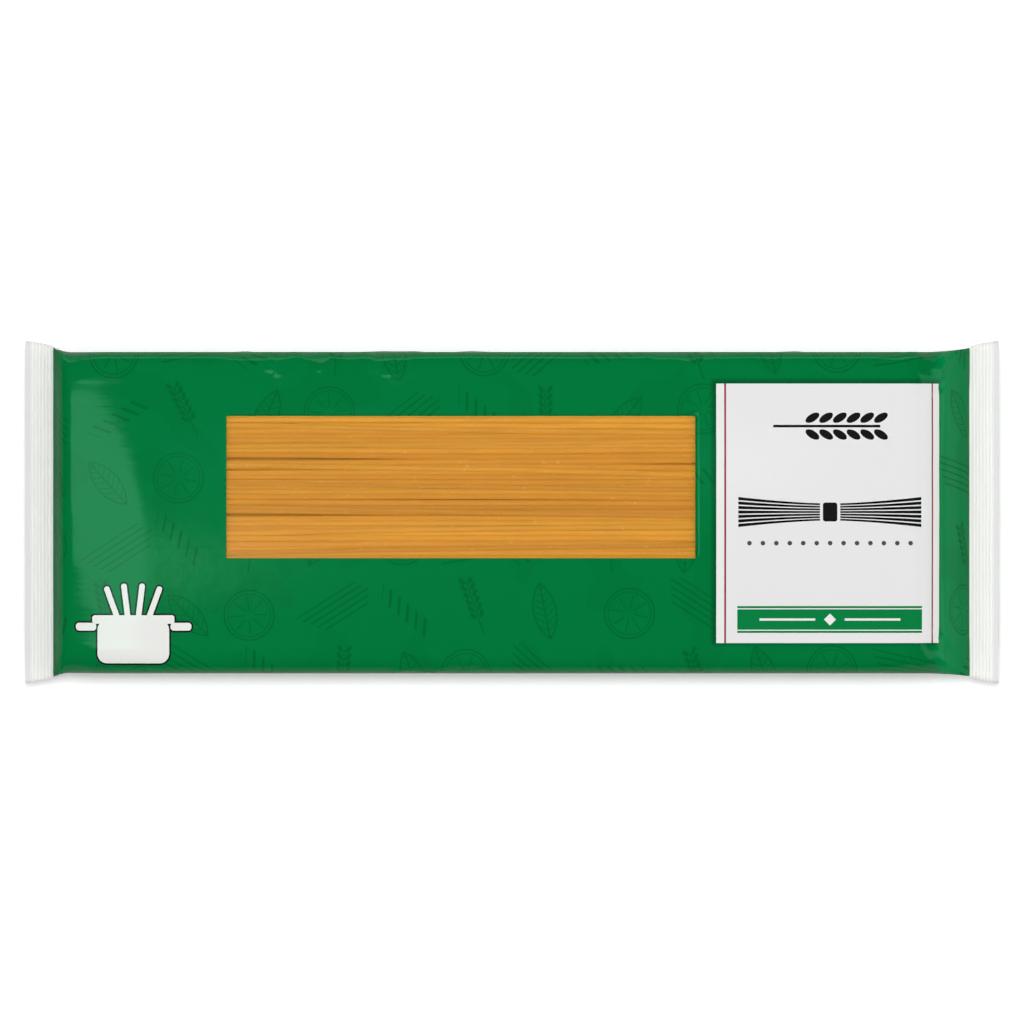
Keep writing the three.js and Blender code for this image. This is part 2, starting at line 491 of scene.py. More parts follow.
def over(tree, below, mask, ink):
    """Ink laid over a colour where the mask is 1."""
    return add(tree, "MixRGB", [mask, below, ink])


# %% [markdown]
# ## Pictures for the pattern
# The green film carries a quiet pattern in a slightly darker green. These pictures are this lesson's own:
# a tomato slice, an ear of wheat, a bay leaf, a block of stripes and a row of strokes. Each function
# takes the x and y of a place, in mm from the picture's own centre, and gives the mask of its lines.

# %% Pictures for the pattern
LINE = 0.42


def slice_lines(tree, x, y):
    """A round slice: two rings and eight spokes."""
    flat = add(tree, "CombineXYZ", [x, y, 0.0])
    reach = add(tree, "VectorMath", [flat], out="Value", operation="LENGTH")
    rim = add(tree, "Math", [reach, 7.6, LINE / 2], operation="COMPARE")
    peel = add(tree, "Math", [reach, 6.5, LINE / 3], operation="COMPARE")
    turn = add(tree, "Math", [y, x], operation="ARCTAN2")
    turn = add(tree, "Math", [turn, 8 / (2 * math.pi)], operation="MULTIPLY")
    turn = add(tree, "Math", [turn], operation="FRACT")
    turn = add(tree, "Math", [turn, 0.5], operation="SUBTRACT")
    turn = add(tree, "Math", [turn], operation="ABSOLUTE")
    beside = add(tree, "Math", [turn, reach], operation="MULTIPLY")
    spoke = add(tree, "Math", [beside, LINE / 2], operation="LESS_THAN")
    between = add(tree, "Math", [reach, 3.7, 2.1], operation="COMPARE")
    spoke = add(tree, "Math", [spoke, between], operation="MULTIPLY")
    rings = add(tree, "Math", [rim, peel], operation="MAXIMUM")
    return add(tree, "Math", [rings, spoke], operation="MAXIMUM")


def ear_lines(tree, x, y):
    """An ear of wheat along Y: a stalk, and slanted grains in pairs every 2.2 mm."""
    beside = add(tree, "Math", [x], operation="ABSOLUTE")
    stalk = add(tree, "Math", [beside, LINE / 2], operation="LESS_THAN")
    long_stalk = add(tree, "Math", [y, -1.0, 8.6], operation="COMPARE")
    stalk = add(tree, "Math", [stalk, long_stalk], operation="MULTIPLY")
    step = add(tree, "Math", [y, 2.2], operation="FLOORED_MODULO")
    step = add(tree, "Math", [step, 1.1], operation="SUBTRACT")
    grain = add(tree, "CombineXYZ", [beside, step, 0.0])
    grain = add(tree, "VectorMath", [grain, (1.35, 0, 0)], operation="SUBTRACT")
    grain = add(tree, "VectorRotate", {"Vector": grain, "Angle": 0.55}, rotation_type="Z_AXIS")
    grain = add(tree, "VectorMath", [grain, (1 / 0.62, 1 / 1.25, 0)], operation="MULTIPLY")
    grain = add(tree, "VectorMath", [grain], out="Value", operation="LENGTH")
    grain = add(tree, "Math", [grain, 1.0], operation="LESS_THAN")
    on_ear = add(tree, "Math", [y, 2.2, 6.6], operation="COMPARE")
    grain = add(tree, "Math", [grain, on_ear], operation="MULTIPLY")
    return add(tree, "Math", [stalk, grain], operation="MAXIMUM")


def leaf_lines(tree, x, y):
    """A leaf along Y: two arcs that meet in points, a rib and slanted veins."""
    beside = add(tree, "Math", [x], operation="ABSOLUTE")
    from_side = add(tree, "Math", [beside, 9.0], operation="ADD")
    arc = add(tree, "CombineXYZ", [from_side, y, 0.0])
    arc = add(tree, "VectorMath", [arc], out="Value", operation="LENGTH")
    edge = add(tree, "Math", [arc, 12.5, LINE / 2], operation="COMPARE")
    within = add(tree, "Math", [arc, 12.5], operation="LESS_THAN")
    rib = add(tree, "Math", [beside, LINE / 2], operation="LESS_THAN")
    vein = add(tree, "Math", [beside, -0.8, y], operation="MULTIPLY_ADD")
    vein = add(tree, "Math", [vein, 2.1], operation="FLOORED_MODULO")
    vein = add(tree, "Math", [vein, LINE * 0.8], operation="LESS_THAN")
    vein = add(tree, "Math", [vein, rib], operation="MAXIMUM")
    vein = add(tree, "Math", [vein, within], operation="MULTIPLY")
    return add(tree, "Math", [edge, vein], operation="MAXIMUM")


def slanted_lines(tree, x, y, pitch, slant, half, share):
    """Lines in a slanted block: across it where slant is true, and lengthwise otherwise."""
    leaning = add(tree, "Math", [y, 0.7, x], operation="MULTIPLY_ADD")
    long_side = add(tree, "Math", [leaning, 0.0, half[0]], operation="COMPARE")
    short_side = add(tree, "Math", [y, 0.0, half[1]], operation="COMPARE")
    line = add(tree, "Math", [leaning if slant else y, pitch], operation="FLOORED_MODULO")
    line = add(tree, "Math", [line, pitch * share], operation="LESS_THAN")
    block = add(tree, "Math", [long_side, short_side], operation="MULTIPLY")
    return add(tree, "Math", [line, block], operation="MULTIPLY")


def stripe_lines(tree, x, y):
    """A slanted block of long thin stripes."""
    return slanted_lines(tree, x, y, pitch=1.9, slant=False, half=(10.5, 4.2), share=0.25)


def stroke_lines(tree, x, y):
    """A row of short strokes."""
    return slanted_lines(tree, x, y, pitch=3.4, slant=True, half=(9.5, 2.3), share=0.3)


# %% [markdown]
# ## The pattern
# The film is divided into cells. Each cell's column and row pick its picture, so that no two neighbours
# are the same, and a random number turns it and shifts it. That scatters five pictures over the whole
# film without placing one by hand. A second, much finer hatch fills patches between them.

# %% The pattern
CELL = (22.0, 20.0, 1.0)
LOOSE_SHIFT = (7.0, 4.0, 0)
LOOSE_TURN = 1.8
PICTURES = [slice_lines, ear_lines, stripe_lines, leaf_lines, stroke_lines]


def pattern_mask(tree, place):
    """How much darker the green is printed, from 0 to 1."""
    cell = add(tree, "VectorMath", [place, CELL], operation="DIVIDE")
    corner = add(tree, "VectorMath", [cell], operation="FLOOR")
    shift = add(tree, "TexWhiteNoise", {"Vector": corner}, out="Color")
    middle = add(tree, "VectorMath", [corner, (0.5, 0.5, 0)], operation="ADD")
    local = add(tree, "VectorMath", [cell, middle], operation="SUBTRACT")
    local = add(tree, "VectorMath", [local, CELL], operation="MULTIPLY")
    shift = add(tree, "VectorMath", [shift, (0.5, 0.5, 0.5)], operation="SUBTRACT")
    moved = add(tree, "VectorMath", [shift, LOOSE_SHIFT], operation="MULTIPLY")
    local = add(tree, "VectorMath", [local, moved], operation="SUBTRACT")
    turn = add(tree, "SeparateXYZ", [shift], out=2)
    turn = add(tree, "Math", [turn, LOOSE_TURN], operation="MULTIPLY")
    local = add(tree, "VectorRotate", {"Vector": local, "Angle": turn}, rotation_type="Z_AXIS")
    local = add(tree, "VectorMath", [local, (1, 1, 0)], operation="MULTIPLY")
    x = add(tree, "SeparateXYZ", [local], out=0)
    y = add(tree, "SeparateXYZ", [local], out=1)
    choice = add(tree, "VectorMath", [corner, (2, 1, 0)], out="Value", operation="DOT_PRODUCT")
    choice = add(tree, "Math", [choice, float(len(PICTURES))], operation="FLOORED_MODULO")
    total = 0.0
    for number, picture in enumerate(PICTURES):
        chosen = add(tree, "Math", [choice, float(number), 0.5], operation="COMPARE")
        lines = picture(tree, x, y)
        total = add(tree, "Math", [chosen, lines, total], operation="MULTIPLY_ADD")
    return total


def hatch_mask(tree, place):
    """Fine slanted hatching in wandering patches."""
    patch = add(tree, "TexNoise", {"Vector": place, "Scale": 0.045, "Detail": 1.0})
    patch = add(tree, "Math", [patch, 0.56], operation="GREATER_THAN")
    line = add(tree, "VectorMath", [place, (0.9, 0.9, 0)], out="Value", operation="DOT_PRODUCT")
    line = add(tree, "Math", [line, 1.0], operation="FLOORED_MODULO")
    line = add(tree, "Math", [line, 0.45], operation="LESS_THAN")
    return add(tree, "Math", [patch, line], operation="MULTIPLY")


# %% [markdown]
# ## The label
# The label is printed on the film, so it is colour and not a second sheet. It has a grey-white field, two
# crimson lines with brighter strips outside them, and a green band between two white hairlines. Its
# pictures are plain ones: an ear of wheat at the top, a tied bundle of strands in the middle, and a small
# diamond in the band.

# %% The label
LABEL_LEFT = 62.3
LABEL_RIGHT = 130.5
LABEL_Y = -0.4
LABEL_HALF = 39.6
RED_LINE_INSET = 2.45
RED_LINE = 0.55
BAND_HALF_LENGTH = 28.3
BAND_Y = -32.4
BAND_HALF_HEIGHT = 4.1
label_u = (along_film(LABEL_LEFT) + along_film(LABEL_RIGHT)) / 2
label_half = (along_film(LABEL_RIGHT) - along_film(LABEL_LEFT)) / 2
INK = {
    "white": linear("#e3e3e0"),
    "panel": linear("#e1dfe0"),
    "crimson": linear("#8f1c36"),
    "green": linear("#0a7a3f"),
    "black": linear("#161616"),
    "grey": linear("#4a4a4a"),
}


def bundle_mask(tree, place, centre):
    """Seven strands that spread from a tie in their middle."""
    near = add(tree, "VectorMath", [place, (*centre, 0)], operation="SUBTRACT")
    x = add(tree, "SeparateXYZ", [near], out=0)
    y = add(tree, "SeparateXYZ", [near], out=1)
    along = add(tree, "Math", [x], operation="ABSOLUTE")
    along = add(tree, "Math", [along, 28.0], operation="DIVIDE")
    spread = add(tree, "Math", [along, 1.6], operation="POWER")
    spread = add(tree, "Math", [spread, 2.1, 2.7], operation="MULTIPLY_ADD")
    level = add(tree, "Math", [y, spread], operation="DIVIDE")
    strand = add(tree, "Math", [level, 3.5, 0.5], operation="MULTIPLY_ADD")
    strand = add(tree, "Math", [strand], operation="FRACT")
    strand = add(tree, "Math", [strand, 0.5, 0.35], operation="COMPARE")
    within = add(tree, "Math", [level, 0.0, 1.0], operation="COMPARE")
    ends = add(tree, "Math", [along, 1.0], operation="LESS_THAN")
    clear = add(tree, "Math", [along, 0.11], operation="GREATER_THAN")
    strand = add(tree, "Math", [strand, within], operation="MULTIPLY")
    strand = add(tree, "Math", [strand, ends], operation="MULTIPLY")
    strand = add(tree, "Math", [strand, clear], operation="MULTIPLY")
    tie = inside(tree, box_distance(tree, near, (0, 0), (2.2, 2.9), 0.8))
    return add(tree, "Math", [strand, tie], operation="MAXIMUM")


def laid_ear_mask(tree, place, centre, size):
    """The ear of wheat laid along the label and enlarged."""
    near = add(tree, "VectorMath", [place, (*centre, 0)], operation="SUBTRACT")
    near = add(tree, "VectorRotate", {"Vector": near, "Angle": math.pi / 2}, rotation_type="Z_AXIS")
    near = add(tree, "VectorMath", [near, (1 / size, 1 / size, 0)], operation="MULTIPLY")
    x = add(tree, "SeparateXYZ", [near], out=0)
    y = add(tree, "SeparateXYZ", [near], out=1)
    return ear_lines(tree, x, y)


def label_print(tree, place, colour):
    """Lays the whole label over the film's colour."""
    near = add(tree, "VectorMath", [place, (label_u, LABEL_Y, 0)], operation="SUBTRACT")
    shade = box_distance(tree, near, (-0.5, 0.4), (label_half, LABEL_HALF), 0.0)
    shade = add(tree, "MapRange", [shade, 0.0, 1.6, 0.65, 0.0])
    colour = over(tree, colour, shade, linear("#02381c"))
    fields = [
        ((0, 0), (label_half, LABEL_HALF), "white"),
        ((0, 0), (label_half - RED_LINE_INSET, LABEL_HALF), "crimson"),
        ((0, 0), (label_half - RED_LINE_INSET - RED_LINE, LABEL_HALF), "panel"),
        ((0, BAND_Y), (BAND_HALF_LENGTH, BAND_HALF_HEIGHT), "green"),
        ((0, BAND_Y + 3.28), (BAND_HALF_LENGTH, 0.16), "white"),
        ((0, BAND_Y - 3.28), (BAND_HALF_LENGTH, 0.16), "white"),
        ((-13, BAND_Y), (8.5, 0.35), "white"),
        ((13, BAND_Y), (8.5, 0.35), "white"),
    ]
    for centre, half, ink in fields:
        mask = inside(tree, box_distance(tree, near, centre, half))
        colour = over(tree, colour, mask, INK[ink])
    diamond = inside(tree, box_distance(tree, near, (0, BAND_Y), (1.3, 1.3), angle=math.pi / 4))
    colour = over(tree, colour, diamond, INK["white"])
    for number in range(-6, 7):
        dot = inside(tree, box_distance(tree, near, (number * 4.1, -9.1), (0.7, 0.7), 0.7))
        colour = over(tree, colour, dot, INK["grey"])
    colour = over(tree, colour, bundle_mask(tree, near, (0, 0.4)), INK["black"])
    return over(tree, colour, laid_ear_mask(tree, near, (0.9, 26.6), 1.9), INK["black"])


# %% [markdown]
# ## The cooking pot
# In the lower left corner is a big white picture with a black outline. It is a cooking pot with strands
# standing in it, drawn as the union of a few round boxes: the smallest of their distances.

# %% The cooking pot
POT_PLACE = (along_film(-115.6), -35.0)
POT_OUTLINE = 0.55
POT_BOXES = [
    ((0, -4.5), (11.0, 6.5), 3.0, 0),
    ((0, 2.2), (12.6, 1.3), 0.8, 0),
    ((-14.6, 0), (3.2, 1.2), 1.0, 0),
    ((14.6, 0), (3.2, 1.2), 1.0, 0),
    ((-6.4, 7.0), (0.85, 5.6), 0.8, -0.35),
    ((-2.2, 7.6), (0.85, 5.6), 0.8, -0.12),
    ((2.2, 7.6), (0.85, 5.6), 0.8, 0.12),
    ((6.4, 7.0), (0.85, 5.6), 0.8, 0.35),
]


def pot_print(tree, place, colour):
    """Lays the pot over the film's colour, black first and white over it."""
    near = add(tree, "VectorMath", [place, (*POT_PLACE, 0)], operation="SUBTRACT")
    nearest = 100.0
    for centre, half, radius, angle in POT_BOXES:
        reach = box_distance(tree, near, centre, half, radius, angle)
        nearest = add(tree, "Math", [nearest, reach], operation="MINIMUM")
    colour = over(tree, colour, inside(tree, nearest, POT_OUTLINE), INK["black"])
    return over(tree, colour, inside(tree, nearest), INK["white"])


# %% [markdown]
# ## Printed film
# The film is polypropylene, printed on its inner side and glossy outside, 0.04 mm thick and pulled tight
# over the strands. Its gloss is that of the plastic itself, a little soft. Near the seals it is crumpled
# more finely than the mesh, so it turns rough there and mirrors nothing sharply. The slope at the right
# end has painted light: its green is a little paler. Just inside the white edge at each seal, a dark band
# is painted shade where the wall meets the seal. The strands press faint lengthwise lines into the film,
# which are drawn as bump at their real pitch of 1.75 mm.

# %% Printed film
FILM_GREEN = "#007238"
PATTERN_GREEN = "#00632d"
LIT_SLOPE_GREEN = "#008346"
FILM_WHITE = "#eceee6"
STRAND = 1.75
WHITE_EDGE = 1.0
ROOT_SHADE = 0.45
SLOPE_REACH = (18.0, 24.0)
CRUMPLE_REACH = (10.0, 19.0)
CRUMPLED_ROUGHNESS = 0.9
FILM_ROUGHNESS = 0.1


def printed_film():
    finish, tree, shader = new_material("printed_polypropylene_film", FILM_ROUGHNESS)
    shader.inputs["Specular Tint"].default_value = linear("#94ffd0")
    place = add(tree, "UVMap", uv_map="print")
    place = add(tree, "VectorMath", [place, (1, 1, 0)], operation="MULTIPLY")
    u = add(tree, "SeparateXYZ", [place], out=0)
    from_left = add(tree, "Math", [u, lengths[0]], operation="SUBTRACT")
    from_right = add(tree, "Math", [lengths[-1], u], operation="SUBTRACT")
    # Painted light: the green is a little paler on the slope at the right end, where light falls on it.
    slope = add(tree, "MapRange", [from_right, *SLOPE_REACH, 1.0, 0.0])
    colour = over(tree, linear(FILM_GREEN), slope, linear(LIT_SLOPE_GREEN))
    colour = over(tree, colour, pattern_mask(tree, place), linear(PATTERN_GREEN))
    faint = add(tree, "Math", [hatch_mask(tree, place), 0.4], operation="MULTIPLY")
    colour = over(tree, colour, faint, linear(PATTERN_GREEN))
    colour = label_print(tree, place, colour)
    colour = pot_print(tree, place, colour)
    from_seal = add(tree, "Math", [from_left, from_right], operation="MINIMUM")
    wavy = add(tree, "TexNoise", {"Vector": place, "Scale": 0.2, "Detail": 3.0})
    from_seal = add(tree, "Math", [wavy, 1.2, from_seal], operation="MULTIPLY_ADD")
    # Painted shade: a dark band just inside the white edge at each seal, where the wall meets the seal.
    colour = over(tree, colour, inside(tree, from_seal, WHITE_EDGE + ROOT_SHADE), linear("#0b3f22"))
    colour = over(tree, colour, inside(tree, from_seal, WHITE_EDGE), linear(FILM_WHITE))
    tree.links.new(colour, shader.inputs["Base Color"])
    roughness = [CRUMPLED_ROUGHNESS, FILM_ROUGHNESS]
    crumple = add(tree, "MapRange", [from_seal, *CRUMPLE_REACH, *roughness])
    tree.links.new(crumple, shader.inputs["Roughness"])
    stretched = add(tree, "VectorMath", [place, (0.02, 1 / STRAND, 0)], operation="MULTIPLY")
    streaks = add(tree, "TexNoise", {"Vector": stretched, "Scale": 1.0, "Detail": 1.0})
    ripple = add(tree, "TexNoise", {"Vector": place, "Scale": 0.16, "Detail": 4.0})
    relief = add(tree, "Math", [ripple, 1.6, streaks], operation="MULTIPLY_ADD")
    bump = add(tree, "Bump", {"Height": relief, "Distance": 0.00003, "Strength": 0.5})
    tree.links.new(bump, shader.inputs["Normal"])
    return finish


# %% [markdown]
# ## Clear film
# The window is the same film without ink. Light passes straight through film this thin without bending,
# so it is a transparent shader with a little gloss over it, stronger at grazing angles by the Fresnel
# node. It is one sheet of faces without a thickness, because a second sheet would mirror the light twice.

# %% Clear film


def clear_film():
    finish = bpy.data.materials.new("clear_polypropylene_film")
    finish.use_nodes = True
    tree = finish.node_tree
    tree.nodes.remove(tree.nodes["Principled BSDF"])
    through = add(tree, "BsdfTransparent", {"Color": linear("#ffffff")})
    gloss = add(tree, "BsdfGlossy", {"Color": linear("#ffffff"), "Roughness": 0.12})
    facing = add(tree, "Fresnel", {"IOR": 1.45})
    both = add(tree, "MixShader", [facing, through, gloss])
    tree.links.new(both, tree.nodes["Material Output"].inputs["Surface"])
    return finish


# %% [markdown]
# ## Split the film at the window
# The wrapped film is one sheet. A copy keeps only the faces inside the window, and the film itself loses
# them. The UV map still says where each face was on the flat film. The printed part is drawn three times
# as thick as it is, because two faces only 0.04 mm apart flicker in most viewers.

# %% Split the film at the window
FILM_THICKNESS = 0.12


def in_window(face, layer):
    centre = sum((loop[layer].uv for loop in face.loops), Vector((0, 0))) / len(face.loops)
    return window_u[0] < centre.x < window_u[1] and window_v[0] < centre.y < window_v[1]


def keep_faces(bm, wanted):
    bmesh.ops.delete(bm, geom=[face for face in bm.faces if not wanted(face)], context="FACES")


clear = film.copy()
clear_map = clear.loops.layers.uv["print"]
keep_faces(clear, lambda face: in_window(face, clear_map))
keep_faces(film, lambda face: not in_window(face, flat_map))
piece_from(film, "printed_film", printed_film(), "wrapper", FILM_THICKNESS)
piece_from(clear, "window_film", clear_film(), "wrapper")

# %% [markdown]
# ## End seals
# Heated jaws with fine teeth press both plies together, so each seal has ribs across the pack and a plain
# strip at its cut edge. It is a flat grid whose height follows the teeth, with a slow bow, because a seal
# is never quite flat.

# %% End seals
RIB_START = 1.2
RIB_PITCH = 1.05
RIB_COUNT = 6
RIB_HEIGHT = 0.09
SEAL_OVERLAP = 1.2


def rib_height(distance):
    teeth = clamp((distance - RIB_START) / RIB_PITCH, 0, RIB_COUNT)
    return RIB_HEIGHT * math.sin(teeth * 2 * math.pi)


def sealed_film():
    """Hot-pressed white film: milky, greyer at the edge, painted shade in grooves, painted light on
    crests.
    """
    finish, tree, shader = new_material("heat_sealed_white_film", roughness=0.3)
    place = add(tree, "TexCoord", out="Object")
    across = add(tree, "SeparateXYZ", [place], out=0)
    across = add(tree, "Math", [across], operation="ABSOLUTE")
    across = add(tree, "Math", [across, (root_x + RIB_START) * MM], operation="SUBTRACT")
    across = add(tree, "Math", [across, 1 / (RIB_PITCH * MM)], operation="MULTIPLY")
    turn = add(tree, "Math", [across, 2 * math.pi], operation="MULTIPLY")
    rib_shade = add(tree, "Math", [turn], operation="SINE")
    rib_shade = add(tree, "Math", [rib_shade, 0.5, 0.5], operation="MULTIPLY_ADD")
    strip = add(tree, "Math", [across, float(RIB_COUNT)], operation="GREATER_THAN")
    cloud = add(tree, "TexNoise", {"Vector": place, "Scale": 60.0, "Detail": 2.0})
    rib_shade = add(tree, "MixRGB", [0.2, rib_shade, cloud])
    # Painted shade and light: each rib is darker in its groove and lighter on its crest.
    colour = add(tree, "MixRGB", [rib_shade, linear("#e3e3e0"), linear("#f8f8f4")])
    colour = add(tree, "MixRGB", [strip, colour, linear("#dedede")])
    tree.links.new(colour, shader.inputs["Base Color"])
    return finish


def end_seal(name, side, finish):
    bm = bmesh.new()
    bmesh.ops.create_grid(bm, x_segments=84, y_segments=90, size=1.0)
    for vert in bm.verts:
        distance = mix(-SEAL_OVERLAP, SEAL_DEPTH, (vert.co.x + 1) / 2)
        spread = math.sqrt(clamp(distance / SEAL_DEPTH))
        width = mix(SEAL_ROOT_WIDTH, seal_width, spread) / 2
        y = vert.co.y * width
        bow = 0.3 * wander(y / 30, distance / 40, side * 3.5) * smooth(0, SEAL_DEPTH, distance)
        vert.co = (side * (root_x + distance), y, SEAL_Z + rib_height(distance) + bow)
    if side < 0:
        bmesh.ops.reverse_faces(bm, faces=bm.faces[:])
    bmesh.ops.translate(bm, verts=bm.verts, vec=(0, 0, SEAL_PLIES / 2))
    return piece_from(bm, name, finish, "wrapper", SEAL_PLIES)


seal_finish = sealed_film()
end_seal("end_seal_left", -1, seal_finish)
end_seal("end_seal_right", 1, seal_finish)

# %% [markdown]
# ## Back seam
# Under the pack both edges of the film are sealed together and folded flat to one side. The strip follows
# the underside from seal to seal, and has fine crimps of its own.

# %% Back seam
SEAM_WIDTH = 11.0
SEAM_OFFSET = 3.0
SEAM_PLIES = 0.2
CRIMP_PITCH = 1.6
CRIMP_HEIGHT = 0.07


def seam_film():
    """The printed film's plain green, crimped."""
    finish, tree, shader = new_material("crimped_green_film", roughness=0.28)
    place = add(tree, "TexCoord", out="Object")
    mottle = add(tree, "TexNoise", {"Vector": place, "Scale": 180.0, "Detail": 3.0})
    colour = add(tree, "MixRGB", [mottle, linear(PATTERN_GREEN), linear(FILM_GREEN)])
    tree.links.new(colour, shader.inputs["Base Color"])
    return finish


def back_seam():
    bm = bmesh.new()
    bmesh.ops.create_grid(bm, x_segments=700, y_segments=6, size=1.0)
    for vert in bm.verts:
        x = vert.co.x * root_x
        crimp = CRIMP_HEIGHT * math.sin(x * 2 * math.pi / CRIMP_PITCH)
        level = bottom_height(x) - SEAM_PLIES / 2 - 0.02 + crimp * smooth(0, 2, inwards(x))
        vert.co = (x, SEAM_OFFSET + vert.co.y * SEAM_WIDTH / 2, level)
    return piece_from(bm, "back_seam", seam_film(), "wrapper", SEAM_PLIES)


back_seam()

# %% [markdown]
# ## Dry spaghetti
# Dry pasta is pressed through dies and dried slowly: matt amber, slightly translucent, a little different
# in tone from strand to strand, with pale specks of semolina. A number stored on each strand's vertices
# gives its tone.

# %% Dry spaghetti


def dry_pasta():
    finish, tree, shader = new_material("dried_durum_pasta", roughness=0.45, ior=1.5)
    tone = add(tree, "Attribute", attribute_name="tone", out="Fac")
    colour = add(tree, "MixRGB", [tone, linear("#c38626"), linear("#dba236")])
    place = add(tree, "TexCoord", out="Object")
    along = add(tree, "VectorMath", [place, (60, 900, 900)], operation="MULTIPLY")
    streak = add(tree, "TexNoise", {"Vector": along, "Scale": 1.0, "Detail": 3.0})
    streak = add(tree, "MapRange", [streak, 0.35, 0.7, 0.0, 0.3])
    colour = add(tree, "MixRGB", [streak, colour, linear("#b87e26")])
    speck = add(tree, "TexNoise", {"Vector": place, "Scale": 900.0, "Detail": 1.0})
    speck = add(tree, "MapRange", [speck, 0.7, 0.8, 0.0, 0.2])
    colour = add(tree, "MixRGB", [speck, colour, linear("#f6d9a0")])
    tree.links.new(colour, shader.inputs["Base Color"])
    bump = add(tree, "Bump", {"Height": streak, "Distance": 0.00004, "Strength": 0.4})
    tree.links.new(bump, shader.inputs["Normal"])
    shader.inputs["Subsurface Weight"].default_value = 0.2
    shader.inputs["Subsurface Radius"].default_value = (1.0, 0.6, 0.25)
    shader.inputs["Subsurface Scale"].default_value = 0.0008
    return finish


# %% [markdown]
# ## The strands
# One strand is made once, as a long thin cylinder cut into short lengths, and copied for each place in
# three layers. The film presses the strands together, so they lie closer than they are thick and only
# their low crowns show, with fine lines between them. They are not quite straight: here and there two
# spread apart and leave a dark gap, and a few more lie on top and cross the others at a slight lean.

# %% The strands
STRAND_SIDES = 10
STRAND_CUTS = 25
LAYERS = 3
BEYOND = 2.2
LAYER_STEP = STRAND * math.sin(math.pi / 3)
FILM_GAP = 0.05
PITCH = 1.56
THICKEST = 2.0
FLATNESS = 0.4
CROSSING = 7
GAPS = [
    {"y": 14.2, "start": -12.0, "end": 62.0, "open": 0.6},
    {"y": 16.8, "start": 12.0, "end": -80.0, "open": 0.5},
    {"y": 7.0, "start": 20.0, "end": 60.0, "open": 0.4},
    {"y": -1.0, "start": -30.0, "end": -90.0, "open": 0.35},
]
rng = random.Random(11)


def spread_apart(x, y):
    """How far a strand is pushed aside by the gaps near it."""
    moved = 0.0
    for gap in GAPS:
        opened = gap["open"] * smooth(0, 1, (x - gap["start"]) / (gap["end"] - gap["start"]))
        moved += math.copysign(opened, y - gap["y"]) * math.exp(-abs(y - gap["y"]) / 5.0)
    return moved


def one_strand():
    """A cylinder along X, from -1 to 1, with rings along it."""
    bm = bmesh.new()
    turned = Matrix.Rotation(math.pi / 2, 4, "Y")
    size = THICKEST / 2
    bmesh.ops.create_cone(
        bm, cap_ends=True, segments=STRAND_SIDES, radius1=size, radius2=size, depth=2.0, matrix=turned
    )
    lengthwise = [edge for edge in bm.edges if abs(edge.verts[0].co.x - edge.verts[1].co.x) > 1]
    bmesh.ops.subdivide_edges(bm, edges=lengthwise, cuts=STRAND_CUTS)
    mesh = bpy.data.meshes.new("strand_template")
    bm.to_mesh(mesh)
    bm.free()
    return mesh


def lay_strand(bm, template, y, sink, tone, layer, lean=0.0):
    """Copies the template to its place under the film, with a slow drift of its own."""
    first = len(bm.verts)
    bm.from_mesh(template)
    bm.verts.ensure_lookup_table()
    aside = rng.uniform(-0.2, 0.2)
    start = aside - lean + rng.uniform(-0.12, 0.12)
    end = aside + lean + rng.uniform(-0.12, 0.12)
    waist = rng.uniform(-0.1, 0.1)
    half = WINDOW_LENGTH / 2 + BEYOND
    for vert in bm.verts[first:]:
        share = vert.co.x
        x = WINDOW_X + share * half
        middle = y + spread_apart(x, y) + mix(start, end, (share + 1) / 2)
        middle += waist * math.cos(share * math.pi)
        height = film_top(x, middle) - FILM_GAP - THICKEST * FLATNESS / 2 - sink
        vert.co = (x, middle + vert.co.y, height + vert.co.z * FLATNESS)
        vert[layer] = tone


def spaghetti():
    bm = bmesh.new()
    tones = bm.verts.layers.float.new("tone")
    template = one_strand()
    count = math.ceil((WINDOW_WIDTH + 2 * BEYOND) / PITCH)
    for depth in range(LAYERS):
        for number in range(count):
            y = WINDOW_Y + (number - (count - 1) / 2 + (depth % 2) / 2) * PITCH
            sink = depth * LAYER_STEP + rng.uniform(0.06, 0.24)
            tone = clamp(0.6 + 0.6 * wander(y / 3.5, 0.5, 9.5) + rng.uniform(-0.25, 0.25))
            lay_strand(bm, template, y, sink, tone, tones)
    for number in range(CROSSING):
        y = WINDOW_Y + WINDOW_WIDTH * ((number + rng.uniform(0.2, 0.8)) / CROSSING - 0.5)
        lean = rng.choice([-1, 1]) * rng.uniform(0.7, 1.6)
        lay_strand(bm, template, y, 0.0, rng.uniform(0.2, 1.0), tones, lean)
    bpy.data.meshes.remove(template)
    return piece_from(bm, "spaghetti_strands", dry_pasta(), "spaghetti")


strand_piece = spaghetti()

# %% [markdown]
# ## The block below
# Under the strands that show lies the rest of the kilo. A domed block with the strands' own ridges stands
# for it, so that a gap between two strands shows pasta and not a hollow.

# %% The block below
BLOCK_COVER = 4.3
BLOCK_FLOOR = 8.4


def pasta_block():
    bm = bmesh.new()
    bmesh.ops.create_grid(bm, x_segments=12, y_segments=200, size=1.0)
    made = bmesh.ops.extrude_face_region(bm, geom=bm.faces[:])
    lower = {item for item in made["geom"] if isinstance(item, bmesh.types.BMVert)}
    tones = bm.verts.layers.float.new("tone")
    for vert in bm.verts:
        x = WINDOW_X + vert.co.x * (WINDOW_LENGTH / 2 - 0.3)
        y = WINDOW_Y + vert.co.y * (WINDOW_WIDTH / 2 - 0.3)
        ridge = abs(math.sin(math.pi * y / STRAND)) * STRAND / 3
        depth = BLOCK_FLOOR if vert in lower else BLOCK_COVER - ridge
        vert.co = (x, y, film_top(x, y) - depth)
        vert[tones] = 0.3
    bmesh.ops.recalc_face_normals(bm, faces=bm.faces[:])
    return piece_from(bm, "spaghetti_block", strand_piece.data.materials[0], "spaghetti")


pasta_block()

# %% [markdown]
# ## Camera
# The photo looks straight down from far away. The lens follows from the view's width at the height of the
# seals.

